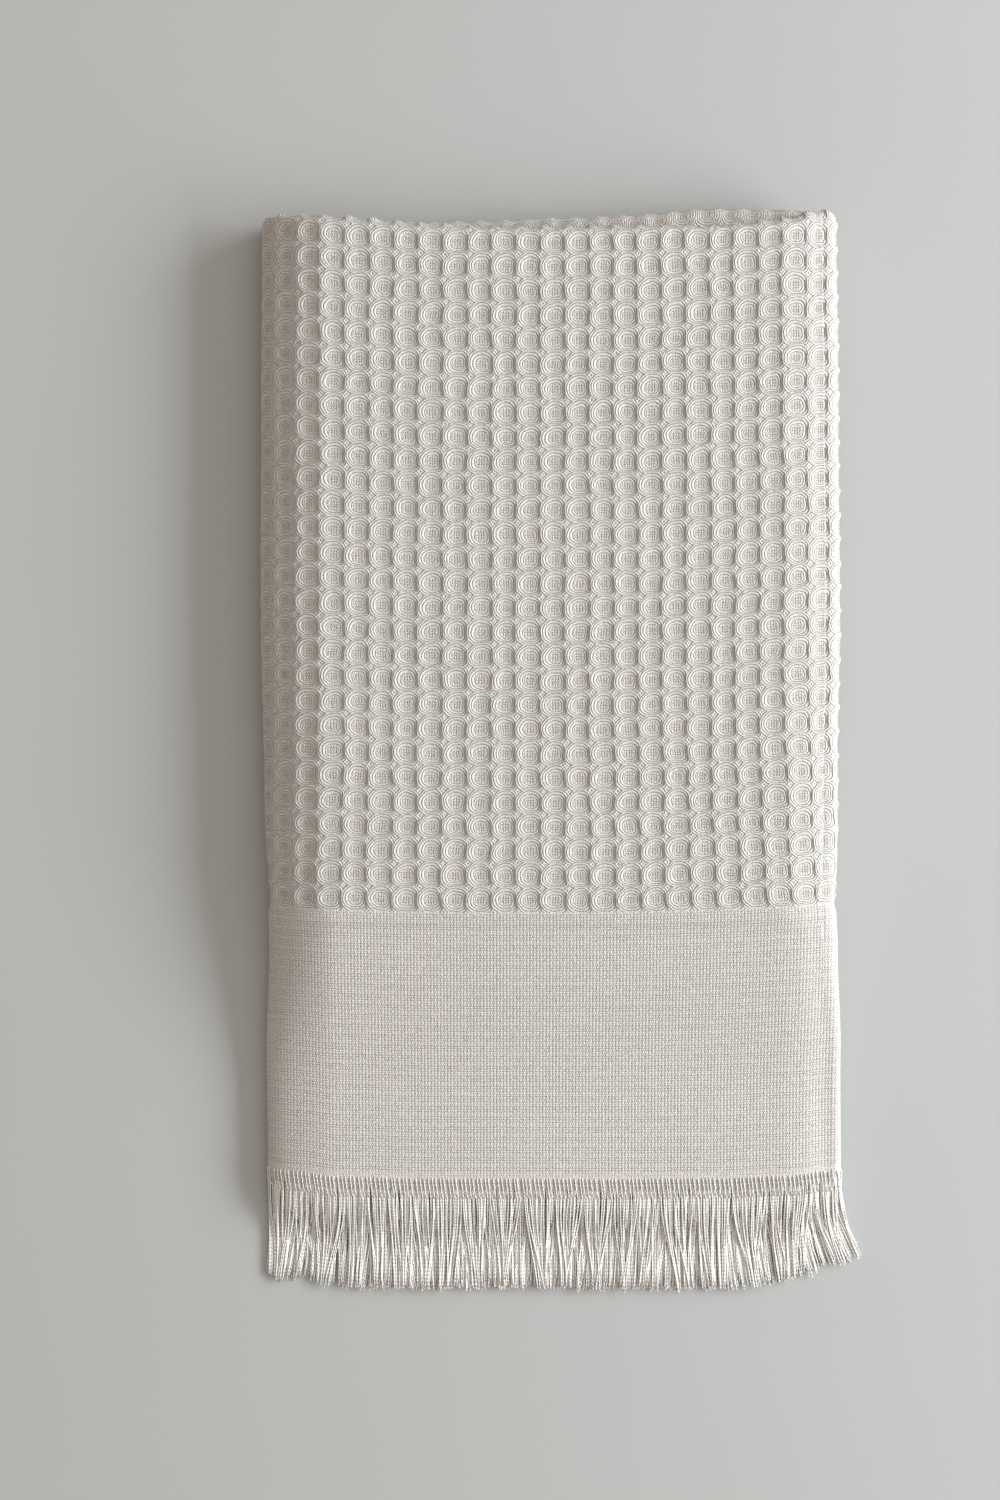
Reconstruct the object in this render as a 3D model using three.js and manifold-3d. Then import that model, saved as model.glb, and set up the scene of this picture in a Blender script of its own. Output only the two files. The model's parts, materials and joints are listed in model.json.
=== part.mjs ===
// A folded face towel in cotton waffle cloth with a plain woven band and a cut fringe at each end.
// The cloth is folded in half across its length, so that both fringed ends lie together at -Y, and
// then in thirds across its width: a long C whose side thirds lie under the show face.
// Millimetres, +Z up. It lies on z = 0 with the top fold towards +Y and the fringe towards -Y.
// The origin is the middle of its box, at the bottom.

import * as THREE from "three";
import { mergeVertices } from "three/addons/utils/BufferGeometryUtils.js";
import Module from "manifold-3d";

// Cloth thickness, in one leaf
const WAFFLE_LEAF = 3.0;
const BAND_LEAF = 1.3;

// Spaces in the fold
const LEAF_GAP = 0.35; // between the two leaves of one third
const PANEL_GAP = 0.4; // between one third and the next

// Where the waffle ends, and how far the stack takes to settle onto the thin bands below it
const WAFFLE_END_Y = -46.5;
const WAFFLE_FADE = 6;
const SETTLE_START_Y = -44;
const SETTLE_END_Y = -104;

// Side folds
const SHOULDER_WIDTH = 21; // the show face rolls down over this width at the left fold
const SHOULDER_TOP_HANDLE = 6;
const SHOULDER_SIDE_HANDLE = 0.6; // of the roll's height
const TURN_SPARE = 0.25; // how much the turn under is wider than the cloth needs
const MIDDLE_EDGE_INSET = 24; // selvedge of the right third, from the left fold
const BOTTOM_EDGE_INSET = 15; // selvedge of the left third, from the right fold
const SELVEDGE_WANDER = 1.4;
const SELVEDGE_WAVE = 90; // length of the selvedges' slow wave
const MIDDLE_WAVE_START = 0.4; // where in the wave each selvedge is at y = 0, in radians
const BOTTOM_WAVE_START = 2.1;
const SQUEEZE = 0.15; // how much the right fold presses its leaves together
const SQUEEZE_START = 18;
const SQUEEZE_FULL = 4;
const SAG = 1.0; // how far the right fold hangs past the bottom selvedge
const SAG_START = 12;
const SAG_FULL = 3;

// Fringe
const FRINGE_GAP = 0.4; // between the hem and the strip that carries the locks
const STRIP_WIDTH = 2.4;
const LOCK_WIDTH = 1.0;
const LOCK_HEIGHT = 0.9;
const LOCK_ROOT = 1.6; // how far a lock reaches into its strip
const LOCK_PITCH = 2.8;
const HIDDEN_LOCK_PITCH = 5.6;
const LOCK_LAYER = 1.35; // rise from locks on the floor to those that lie on them
const LOCK_FADE = 8; // over this width locks come down beside the ones they lie on
const LENGTH_SPREAD = 1.6;
const LEAN_POWER = 2;

// Clear of the left or right fold, as seen from above: the rows of locks of each third
const BOTTOM_LOCKS = { left: 7, right: 18 };
const MIDDLE_LOCKS = { left: 27, right: 5 };
const FRONT_LOCKS = { left: 1.4, right: 5 };

// The locks of the lower thirds carry those above them from here inwards
const BOTTOM_CARRIES = { left: -2.5, right: 8 };
const MIDDLE_CARRIES = { left: 17 };

// Sections of a lock from root to tip: size, and the share of its fall that is done
const LOCK_SECTIONS = [
  { along: 0, scale: 0.8, fallen: 0 },
  { along: 0.14, scale: 1, fallen: 0.04 },
  { along: 0.4, scale: 1, fallen: 0.52 },
  { along: 0.66, scale: 0.92, fallen: 1 },
  { along: 1, scale: 0.45, fallen: 1 },
];

// Outline of the folded towel down its length, left and right fold
const SIDE_ROWS = [
  { y: 160, left: -88.1, right: 81.4 },
  { y: 104, left: -88.4, right: 82.0 },
  { y: 45, left: -88.6, right: 82.5 },
  { y: -14, left: -87.4, right: 81.7 },
  { y: -44, left: -86.3, right: 80.8 },
  { y: -58, left: -86.2, right: 81.5 },
  { y: -88, left: -87.1, right: 82.9 },
  { y: -120, left: -86.8, right: 83.1 },
  { y: -130, left: -86.3, right: 82.9 },
];

// Top fold and hem across the width. The right third shows past the show face's fold by peek.
const END_COLUMNS = [
  { x: -88, top: 158.4, peek: 0.0, hem: -125.4, tip: -154.5, lean: -1.8 },
  { x: -76, top: 157.4, peek: 0.0, hem: -126.5, tip: -156.5, lean: -2.6 },
  { x: -64, top: 156.5, peek: 0.2, hem: -127.9, tip: -158.4, lean: -1.5 },
  { x: -38, top: 154.5, peek: 1.6, hem: -128.5, tip: -158.8, lean: 0.4 },
  { x: -22, top: 153.4, peek: 3.2, hem: -128.5, tip: -158.7, lean: 0.3 },
  { x: 0, top: 153.6, peek: 3.8, hem: -128.6, tip: -158.6, lean: 0.2 },
  { x: 18, top: 153.8, peek: 4.3, hem: -128.6, tip: -159.2, lean: -0.6 },
  { x: 45, top: 153.7, peek: 6.3, hem: -128.4, tip: -158.8, lean: 0.8 },
  { x: 66, top: 155.9, peek: 3.7, hem: -127.6, tip: -156.6, lean: 2.6 },
  { x: 76, top: 158.8, peek: 0.3, hem: -126.7, tip: -152.4, lean: 5.1 },
  { x: 82, top: 159.0, peek: -0.4, hem: -126.3, tip: -150.5, lean: 6.2 },
];
const BOTTOM_THIRD_SHORT = 0.7; // the left third's top fold lies this far inside the others

// Rows of points down each leaf, as y; the hem and the top fold bound them
const LEAF_ROWS = [-118, -104, -90, -76, -62, -52.5, -49.5, -46.5, -38, 0, 50, 104];
const FOLD_STEPS = 4; // in the half turn of the top fold
const SLOPE_STEP = 0.5; // the lie of a level run is read this far to each side
const HALVINGS = 30; // in the search for a place on the fold

// Stations across the width, as shares of the stretch of the fold that they lie on
const STATIONS = {
  middle: [0, 0.25, 0.5, 0.75, 0.89, 0.92, 0.95, 0.98, 1],
  bend: [0, 1 / 6, 2 / 6, 3 / 6, 4 / 6, 5 / 6, 1],
  front: [0, 0.02, 0.05, 0.08, 0.11, 0.25, 0.4, 0.55, 0.7, 0.85, 1],
  shoulder: [0, 0.16, 0.32, 0.48, 0.62, 0.76, 0.88, 1],
  turn: [0, 1 / 3, 2 / 3, 1],
  bottom: [0, 0.2, 0.4, 0.6, 0.8, 1],
};

const WAFFLE = { colour: 0xeae6df, roughness: 0.92 };
const YARN = { colour: 0xe9e1da, roughness: 0.9 };

// Numbers

function clamp01(value) {
  return Math.min(1, Math.max(0, value));
}

function smooth(value) {
  const t = clamp01(value);
  return t * t * (3 - 2 * t);
}

function mix(a, b, t) {
  return a + (b - a) * t;
}

// A repeatable value between -1 and 1 for a counted thing: the usual sine hash
function scatter(index, salt) {
  const wave = Math.sin(index * 12.9898 + salt * 78.233) * 43758.5453;
  return 2 * (wave - Math.floor(wave)) - 1;
}

// Reads one column of a table whose rows are in order of a key, with soft steps between rows
function readTable(rows, key, column, at) {
  const rising = rows[rows.length - 1][key] > rows[0][key];
  const list = rising ? rows : [...rows].reverse();
  if (at <= list[0][key]) {
    return list[0][column];
  }
  const next = list.findIndex((row) => row[key] >= at);
  if (next < 0) {
    return list[list.length - 1][column];
  }
  const low = list[next - 1];
  const high = list[next];
  return mix(low[column], high[column], smooth((at - low[key]) / (high[key] - low[key])));
}

// The stack's sizes at a place along the length, y, and at a distance from the right fold

function clothThickness(y) {
  const inWaffle = smooth((y - (WAFFLE_END_Y - WAFFLE_FADE)) / WAFFLE_FADE);
  return mix(BAND_LEAF, WAFFLE_LEAF, inWaffle);
}

function settled(y) {
  return smooth((SETTLE_START_Y - y) / (SETTLE_START_Y - SETTLE_END_Y));
}

function stackAt(y, fromRight) {
  const thickness = clothThickness(y);
  const leaf = mix(WAFFLE_LEAF, BAND_LEAF, settled(y));
  const pressed = SQUEEZE * smooth((SQUEEZE_START - fromRight) / (SQUEEZE_START - SQUEEZE_FULL));
  const sag = SAG * smooth((SAG_START - fromRight) / (SAG_START - SAG_FULL));
  const offset = (leaf + LEAF_GAP) / 2;
  const pitch = 2 * leaf + LEAF_GAP + PANEL_GAP;
  const bottomLevel = offset + thickness / 2;
  const loss = pressed * thickness;
  const middleLevel = bottomLevel + pitch - loss - sag;
  const pressedPitch = pitch - 2 * loss;
  return {
    free: { thickness, offset },
    pressed: { thickness: thickness - loss, offset: offset - loss / 2 },
    bottomLevel,
    middleLevel,
    frontLevel: middleLevel + pressedPitch,
  };
}

// The C that the cloth follows across its width, in the XZ plane at one y. Each function returns
// the middle of the two leaves, the direction out of the fold, and the leaves' sizes.

function sides(y) {
  return {
    left: readTable(SIDE_ROWS, "y", "left", y),
    right: readTable(SIDE_ROWS, "y", "right", y),
  };
}

function bendAt(y) {
  const { right } = sides(y);
  const stack = stackAt(y, 0);
  const radius = (stack.frontLevel - stack.middleLevel) / 2;
  const reach = radius + stack.pressed.offset + stack.pressed.thickness / 2;
  return { x: right - reach, z: stack.middleLevel + radius, radius, sizes: stack.pressed };
}

function levelRun(y, x, level, outward) {
  const { right } = sides(y);
  const stack = stackAt(y, right - x);
  const after = stackAt(y, right - x - SLOPE_STEP)[level];
  const before = stackAt(y, right - x + SLOPE_STEP)[level];
  const slope = (after - before) / (2 * SLOPE_STEP);
  const length = Math.hypot(1, slope);
  const sizes = level === "bottomLevel" ? stack.free : stack.pressed;
  return { x, z: stack[level], nx: (-slope / length) * outward, nz: outward / length, sizes };
}

function selvedge(y, phase) {
  return SELVEDGE_WANDER * Math.sin((y / SELVEDGE_WAVE) * Math.PI + phase);
}

function middleRun(y, t) {
  const start = sides(y).left + MIDDLE_EDGE_INSET + selvedge(y, MIDDLE_WAVE_START);
  return levelRun(y, mix(start, bendAt(y).x, t), "middleLevel", -1);
}

function rightBend(y, t) {
  const bend = bendAt(y);
  const angle = mix(-Math.PI / 2, Math.PI / 2, t);
  const nx = Math.cos(angle);
  const nz = Math.sin(angle);
  return { x: bend.x + bend.radius * nx, z: bend.z + bend.radius * nz, nx, nz, sizes: bend.sizes };
}

function frontRun(y, t) {
  const end = sides(y).left + SHOULDER_WIDTH;
  return levelRun(y, mix(bendAt(y).x, end, t), "frontLevel", 1);
}

function turnAt(y) {
  const { left } = sides(y);
  const stack = stackAt(y, SQUEEZE_START);
  const half = stack.free.offset + stack.free.thickness / 2;
  const radius = half + TURN_SPARE;
  return { x: left + half + radius, z: stack.bottomLevel + radius, radius, stack };
}

function leftShoulder(y, t) {
  const turn = turnAt(y);
  const top = turn.stack.frontLevel;
  const start = new THREE.Vector2(sides(y).left + SHOULDER_WIDTH, top);
  const end = new THREE.Vector2(turn.x - turn.radius, turn.z);
  const curve = new THREE.CubicBezierCurve(
    start,
    new THREE.Vector2(start.x - SHOULDER_TOP_HANDLE, top),
    new THREE.Vector2(end.x, end.y + SHOULDER_SIDE_HANDLE * (top - end.y)),
    end,
  );
  const point = curve.getPoint(t);
  const along = curve.getTangent(t);
  return { x: point.x, z: point.y, nx: along.y, nz: -along.x, sizes: turn.stack.free };
}

function leftTurn(y, t) {
  const turn = turnAt(y);
  const angle = mix(Math.PI, 1.5 * Math.PI, t);
  const nx = Math.cos(angle);
  const nz = Math.sin(angle);
  const sizes = turn.stack.free;
  return { x: turn.x + turn.radius * nx, z: turn.z + turn.radius * nz, nx, nz, sizes };
}

function bottomRun(y, t) {
  const end = sides(y).right - BOTTOM_EDGE_INSET + selvedge(y, BOTTOM_WAVE_START);
  return levelRun(y, mix(turnAt(y).x, end, t), "bottomLevel", -1);
}

// The stretches in order along the C
const STRETCHES = [
  { name: "middle", at: middleRun },
  { name: "bend", at: rightBend },
  { name: "front", at: frontRun },
  { name: "shoulder", at: leftShoulder },
  { name: "turn", at: leftTurn },
  { name: "bottom", at: bottomRun },
];

// Every station along the C; a stretch starts where the one before it ends
function allStations() {
  return STRETCHES.flatMap(({ name, at }, index) => {
    const shares = index === 0 ? STATIONS[name] : STATIONS[name].slice(1);
    return shares.map((t) => ({ name, at, t }));
  });
}

// Top fold and hem at one station
function endsAt(station) {
  const x = station.at(0, station.t).x;
  const top = readTable(END_COLUMNS, "x", "top", x);
  const peek = readTable(END_COLUMNS, "x", "peek", x);
  const hem = readTable(END_COLUMNS, "x", "hem", x);
  const extra = { middle: peek, bend: peek * (1 - station.t), bottom: -BOTTOM_THIRD_SHORT };
  extra.turn = -BOTTOM_THIRD_SHORT * station.t;
  return { top: top + (extra[station.name] ?? 0), hem };
}

// A point of the cloth: at a station, off the middle of the two leaves by a distance
function clothPoint(station, rowY, distance, y) {
  const place = station.at(rowY, station.t);
  return [place.x + place.nx * distance, y, place.z + place.nz * distance];
}

// A closed skin of rings that all have the same number of points, the two chains of a ring facing
// each other, so that each end is closed by a strip of quads between the chains.
function skinFromRings(rings) {
  const count = rings[0].length;
  const half = count / 2;
  const positions = rings.flat(2);
  const triangles = [];
  for (let ring = 0; ring + 1 < rings.length; ring += 1) {
    for (let i = 0; i < count; i += 1) {
      const j = (i + 1) % count;
      const a = ring * count + i;
      const b = ring * count + j;
      const c = (ring + 1) * count + j;
      const d = (ring + 1) * count + i;
      triangles.push(a, b, c, a, c, d);
    }
  }
  const last = (rings.length - 1) * count;
  for (let i = 0; i + 1 < half; i += 1) {
    const across = count - 1 - i;
    triangles.push(i, across, across - 1, i, across - 1, i + 1);
    triangles.push(last + i, last + across - 1, last + across, last + i, last + i + 1, last + across - 1);
  }
  const geometry = new THREE.BufferGeometry();
  geometry.setAttribute("position", new THREE.Float32BufferAttribute(positions, 3));
  geometry.setIndex(triangles);
  return geometry;
}

// The cloth: the hairpin of the half fold, carried along the C

function hairpinRing(station) {
  const { top, hem } = endsAt(station);
  const fold = station.at(top, station.t).sizes;
  const reach = fold.offset + fold.thickness / 2;
  const foldY = top - reach;
  const rows = [hem, ...LEAF_ROWS, foldY];
  const chain = (side) => {
    const down = rows.map((y) => {
      const { offset, thickness } = station.at(y, station.t).sizes;
      return clothPoint(station, y, offset + (side * thickness) / 2, y);
    });
    const radius = fold.offset + (side * fold.thickness) / 2;
    const around = [];
    for (let step = 1; step < FOLD_STEPS; step += 1) {
      const angle = (Math.PI * step) / FOLD_STEPS;
      around.push(clothPoint(station, foldY, radius * Math.cos(angle), foldY + radius * Math.sin(angle)));
    }
    const back = [...rows].reverse().map((y) => {
      const { offset, thickness } = station.at(y, station.t).sizes;
      return clothPoint(station, y, -(offset + (side * thickness) / 2), y);
    });
    return [...down, ...around, ...back];
  };
  return [...chain(1), ...chain(-1).reverse()];
}

function makeCloth() {
  return skinFromRings(allStations().map(hairpinRing));
}

// The fringe of one leaf: a strip just past the hem, and locks that fall from it and settle

const wasm = await Module();
wasm.setup();

function toSolid(geometry) {
  const bare = new THREE.BufferGeometry();
  bare.setAttribute("position", geometry.getAttribute("position"));
  bare.setIndex(geometry.getIndex());
  const merged = mergeVertices(bare, 1e-5);
  const mesh = new wasm.Mesh({
    numProp: 3,
    vertProperties: new Float32Array(merged.getAttribute("position").array),
    triVerts: new Uint32Array(merged.getIndex().array),
  });
  return new wasm.Manifold(mesh);
}

function fromSolid(solid) {
  const mesh = solid.getMesh();
  const geometry = new THREE.BufferGeometry();
  geometry.setAttribute("position", new THREE.BufferAttribute(mesh.vertProperties, 3));
  geometry.setIndex(new THREE.BufferAttribute(mesh.triVerts, 1));
  return geometry;
}

function makeStrip(side) {
  const rings = allStations().map((station) => {
    const start = endsAt(station).hem - FRINGE_GAP;
    const { offset, thickness } = station.at(start, station.t).sizes;
    const outer = side * offset + thickness / 2;
    const inner = side * offset - thickness / 2;
    const end = start - STRIP_WIDTH;
    return [
      clothPoint(station, start, outer, end),
      clothPoint(station, start, outer, start),
      clothPoint(station, start, inner, start),
      clothPoint(station, start, inner, end),
    ];
  });
  return skinFromRings(rings);
}

// Where locks leave their strip: evenly spaced across the width, those of the inner leaf midway
// between those of the outer one, so that both can settle to one height.
function stationAtX(at, side, x) {
  const hem = readTable(END_COLUMNS, "x", "hem", x);
  const xOf = (t) => clothPoint({ at, t }, hem, side * at(hem, t).sizes.offset, hem)[0];
  let low = 0;
  let high = 1;
  const rising = xOf(1) > xOf(0);
  for (let halving = 0; halving < HALVINGS; halving += 1) {
    const t = (low + high) / 2;
    if (xOf(t) < x === rising) {
      low = t;
    } else {
      high = t;
    }
  }
  return { at, t: (low + high) / 2 };
}

function lockRoots(side) {
  const { left, right } = sides(END_COLUMNS[0].hem);
  const fold = right - left;
  const rows = [
    { name: "bottom", at: bottomRun, pitch: HIDDEN_LOCK_PITCH, ...BOTTOM_LOCKS },
    { name: "middle", at: middleRun, pitch: HIDDEN_LOCK_PITCH, ...MIDDLE_LOCKS },
    { name: "front", at: frontRun, pitch: LOCK_PITCH, ...FRONT_LOCKS, left: SHOULDER_WIDTH },
    { name: "shoulder", at: leftShoulder, pitch: LOCK_PITCH, ...FRONT_LOCKS, right: fold - SHOULDER_WIDTH },
  ];
  const roots = [{ name: "bend", at: rightBend, t: 0.5 }];
  for (const { name, at, pitch, ...clear } of rows) {
    const shift = side > 0 ? 0 : pitch / 2;
    const from = left + clear.left;
    const to = right - clear.right;
    for (let step = Math.ceil((from - shift) / pitch); step * pitch + shift < to; step += 1) {
      roots.push({ name, ...stationAtX(at, side, step * pitch + shift) });
    }
  }
  return roots;
}

// The height at which a lock's underside comes to rest: the floor, or the locks below it
function restHeight(name, x) {
  const { left, right } = sides(END_COLUMNS[0].hem);
  const overBottomLeft = smooth((x - left - BOTTOM_CARRIES.left) / LOCK_FADE);
  const overBottomRight = smooth((right - BOTTOM_CARRIES.right - x) / LOCK_FADE);
  const overBottom = Math.min(overBottomLeft, overBottomRight);
  const overMiddle = smooth((x - left - MIDDLE_CARRIES.left) / LOCK_FADE);
  const layers = { bottom: 0, bend: 0, middle: overBottom, front: overBottom + overMiddle };
  layers.shoulder = layers.front;
  return layers[name] * LOCK_LAYER;
}

// A lock is a three-sided rod with a flat underside, thinner at its tip
function makeLock(root, side, index) {
  const start = endsAt(root).hem - FRINGE_GAP;
  const { offset } = root.at(start, root.t).sizes;
  const [x, , z] = clothPoint(root, start, side * offset, start);
  const rest = Math.min(restHeight(root.name, x), z - LOCK_HEIGHT / 2);
  const tip = readTable(END_COLUMNS, "x", "tip", x) + LENGTH_SPREAD * Math.abs(scatter(index, side));
  const lean = readTable(END_COLUMNS, "x", "lean", x);
  const rootY = start - STRIP_WIDTH + LOCK_ROOT;
  const rings = LOCK_SECTIONS.map(({ along, scale, fallen }) => {
    const underside = mix(z - LOCK_HEIGHT / 2, rest, fallen);
    const middle = x + lean * along ** LEAN_POWER;
    const y = mix(rootY, tip, along);
    const half = (LOCK_WIDTH / 2) * scale;
    return [
      [middle - half, y, underside],
      [middle + half, y, underside],
      [middle, y, underside + LOCK_HEIGHT * scale],
    ];
  });
  return rodFromRings(rings);
}

// A closed rod through three-point rings
function rodFromRings(rings) {
  const triangles = [];
  for (let ring = 0; ring + 1 < rings.length; ring += 1) {
    for (let i = 0; i < 3; i += 1) {
      const j = (i + 1) % 3;
      const a = ring * 3 + i;
      const b = ring * 3 + j;
      triangles.push(a, b + 3, a + 3, a, b, b + 3);
    }
  }
  const last = (rings.length - 1) * 3;
  triangles.push(0, 2, 1, last, last + 1, last + 2);
  const geometry = new THREE.BufferGeometry();
  geometry.setAttribute("position", new THREE.Float32BufferAttribute(rings.flat(2), 3));
  geometry.setIndex(triangles);
  return geometry;
}

function makeFringe(side) {
  const locks = lockRoots(side).map((root, index) => toSolid(makeLock(root, side, index)));
  const strip = toSolid(makeStrip(side));
  return fromSolid(wasm.Manifold.union([strip, ...locks]));
}

// The towel

function addPiece(group, name, geometry, { colour, roughness }) {
  geometry.computeVertexNormals();
  const material = new THREE.MeshStandardMaterial({ color: colour, roughness, metalness: 0 });
  const mesh = new THREE.Mesh(geometry, material);
  mesh.name = name;
  group.add(mesh);
}

const group = new THREE.Group();
addPiece(group, "towel_cloth", makeCloth(), WAFFLE);
addPiece(group, "fringe_outer_end", makeFringe(1), YARN);
addPiece(group, "fringe_inner_end", makeFringe(-1), YARN);

export default group;
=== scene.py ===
"""A folded face towel: waffle cloth with a plain woven band and a cut fringe, on a pale floor.

The cloth is folded in half across its length and then in thirds across its width. Each piece is
worked out on the flat cloth, in waffle cells across (a) and along (b), and laid on the fold.
"""

import json
import math
from types import SimpleNamespace

import bpy
import numpy as np
from bpy.props import FloatProperty, FloatVectorProperty, IntProperty, PointerProperty
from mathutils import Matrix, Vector

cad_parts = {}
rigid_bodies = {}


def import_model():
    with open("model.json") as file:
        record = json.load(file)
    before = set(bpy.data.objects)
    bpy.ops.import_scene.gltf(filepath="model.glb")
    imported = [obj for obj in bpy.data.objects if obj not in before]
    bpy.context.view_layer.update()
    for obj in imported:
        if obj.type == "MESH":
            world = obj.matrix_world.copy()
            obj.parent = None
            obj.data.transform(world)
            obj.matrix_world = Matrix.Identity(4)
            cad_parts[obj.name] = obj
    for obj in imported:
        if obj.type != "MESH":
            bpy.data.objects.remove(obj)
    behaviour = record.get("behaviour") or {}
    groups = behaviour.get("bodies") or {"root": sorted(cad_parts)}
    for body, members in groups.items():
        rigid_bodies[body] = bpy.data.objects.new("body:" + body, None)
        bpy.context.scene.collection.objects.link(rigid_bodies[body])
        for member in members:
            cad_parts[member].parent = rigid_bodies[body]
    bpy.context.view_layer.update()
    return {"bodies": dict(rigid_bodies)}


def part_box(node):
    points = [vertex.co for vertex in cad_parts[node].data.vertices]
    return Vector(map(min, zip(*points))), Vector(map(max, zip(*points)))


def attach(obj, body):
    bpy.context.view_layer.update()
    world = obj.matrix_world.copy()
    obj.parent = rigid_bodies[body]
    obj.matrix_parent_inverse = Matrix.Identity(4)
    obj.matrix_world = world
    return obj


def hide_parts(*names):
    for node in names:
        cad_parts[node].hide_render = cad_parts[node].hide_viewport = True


bl_info = {
    "name": "Folded Face Towel",
    "version": (1, 0, 0),
    "blender": (4, 5, 0),
    "location": "View3D > Sidebar > Towel",
    "description": "Builds a folded waffle face towel with a plain band and a cut fringe",
    "category": "Add Mesh",
}

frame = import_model()
CLOTH_LOW, CLOTH_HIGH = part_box("towel_cloth")
BODY = next(iter(frame["bodies"]))
MM = 0.001  # in metres
CM = 10  # in millimetres
TINY = 1e-9
CLOTH_NAME, YARN_NAME = "cotton waffle and band", "cut cotton yarn"

# Grid lines across a cell of the show face, closer on the steep side of its ridge
CELL_COLUMNS = (
    0, 0.06, 0.12, 0.19, 0.26, 0.34, 0.42, 0.5, 0.58,
    0.65, 0.72, 0.78, 0.83, 0.87, 0.905, 0.935, 0.965,
)

# Outline of the folded towel down its length, left and right fold, in millimetres
SIDE_ROWS = [
    {"y": 160, "left": -88.1, "right": 81.4},
    {"y": 104, "left": -88.4, "right": 82.0},
    {"y": 45, "left": -88.6, "right": 82.5},
    {"y": -14, "left": -87.4, "right": 81.7},
    {"y": -44, "left": -86.3, "right": 80.8},
    {"y": -58, "left": -86.2, "right": 81.5},
    {"y": -88, "left": -87.1, "right": 82.9},
    {"y": -120, "left": -86.8, "right": 83.1},
    {"y": -130, "left": -86.3, "right": 82.9},
]

# Top fold, hem and fringe tips across the width. The third below shows past the fold by peek.
END_COLUMNS = [
    {"x": -88, "top": 158.4, "peek": 0.0, "hem": -125.4, "tip": -154.5, "lean": -1.8},
    {"x": -76, "top": 157.4, "peek": 0.0, "hem": -126.5, "tip": -156.5, "lean": -2.6},
    {"x": -64, "top": 156.5, "peek": 0.2, "hem": -127.9, "tip": -158.4, "lean": -1.5},
    {"x": -38, "top": 154.5, "peek": 1.6, "hem": -128.5, "tip": -158.8, "lean": 0.4},
    {"x": -22, "top": 153.4, "peek": 3.2, "hem": -128.5, "tip": -158.7, "lean": 0.3},
    {"x": 0, "top": 153.6, "peek": 3.8, "hem": -128.6, "tip": -158.6, "lean": 0.2},
    {"x": 18, "top": 153.8, "peek": 4.3, "hem": -128.6, "tip": -159.2, "lean": -0.6},
    {"x": 45, "top": 153.7, "peek": 6.3, "hem": -128.4, "tip": -158.8, "lean": 0.8},
    {"x": 66, "top": 155.9, "peek": 3.7, "hem": -127.6, "tip": -156.6, "lean": 2.6},
    {"x": 76, "top": 158.8, "peek": 0.3, "hem": -126.7, "tip": -152.4, "lean": 5.1},
    {"x": 82, "top": 159.0, "peek": -0.4, "hem": -126.3, "tip": -150.5, "lean": 6.2},
]

# How much wider than the rest the cells lie, left and right of the middle column
STRETCH_ROWS = [
    {"y": 150, "left": 0.002, "right": -0.014},
    {"y": 60, "left": 0.006, "right": -0.004},
    {"y": 10, "left": 0.007, "right": -0.004},
    {"y": -12, "left": 0.010, "right": 0.010},
    {"y": -46, "left": 0.022, "right": 0.030},
    {"y": -125, "left": 0.020, "right": 0.024},
]

# The waffle's relief. Starts and widths are in cells, from the waffle's end row inwards.
RELIEF = SimpleNamespace(
    crest=0.04,  # crests lie this far past the corners of the cells
    past_flank=0.05,  # the foot of the next ridge starts this far past a flank
    join=3,  # how sharply level ridges part from upright ones
    notch_width=0.2,
    ridges=(-0.1, 0.35),
    level_ridges=(0.35, 0.4),
    pits=(-0.5, 0.5),
    ground_pits=(-0.95, 0.6),
    ground_low=0.15,  # how far the ground cloth lies below the face, in millimetres
    knots=97,
    shift=(40, 20),  # where in the knots the middle column and the first row lie
    seeds=(3, 4),
)

# Reach of the show face in columns and rows, and faces to a cell away from its waffle
FACE_LEFT, FACE_RIGHT, FACE_TOP = -13.4, 13.6, 30.0
BAND_DETAIL, HIDDEN_BAND_DETAIL, INNER_DETAIL = 4, 2, 4

# The ground cloth: where it rolls or folds, as low, high and faces to a cell, and its other faces
LEFT_ROLL, RIGHT_BEND, TOP_FOLD = (-14, -9, 7), (11, 14, 8), (28, 31, 8)
FLAT_DETAIL = 1.5
WAFFLE_EDGE, WAFFLE_EDGE_DETAIL = 1.2, 7

# Overcast stitches, in millimetres. Rise is off the middle of the leaf.
STITCH = SimpleNamespace(
    pitch=1.18,
    slant=0.9,
    up=3.6,
    down=2.6,
    radius=0.2,
    points=7,
    seed=11,
    margin=0.1,  # bare at each selvedge, in cells
    sway=0.04,  # in cells
    uneven=0.3,
    rise=0.77,
    drop=0.12,  # share of the rise that is lost at the lower end
    bow=0.16,
    head_dip=0.35,
    tail_dip=0.5,
)

# The yarns that leave a hem together, at these yarn gaps from the middle of their pair
YARN_GROUP = [
    {"at": -0.5, "loose": False, "stub": False},
    {"at": 0.5, "loose": False, "stub": False},
    {"at": 1.0, "loose": True, "stub": False},
    {"at": 1.55, "loose": True, "stub": False},
    {"at": 0.0, "loose": True, "stub": True},
    {"at": 1.3, "loose": True, "stub": True},
]

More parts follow.
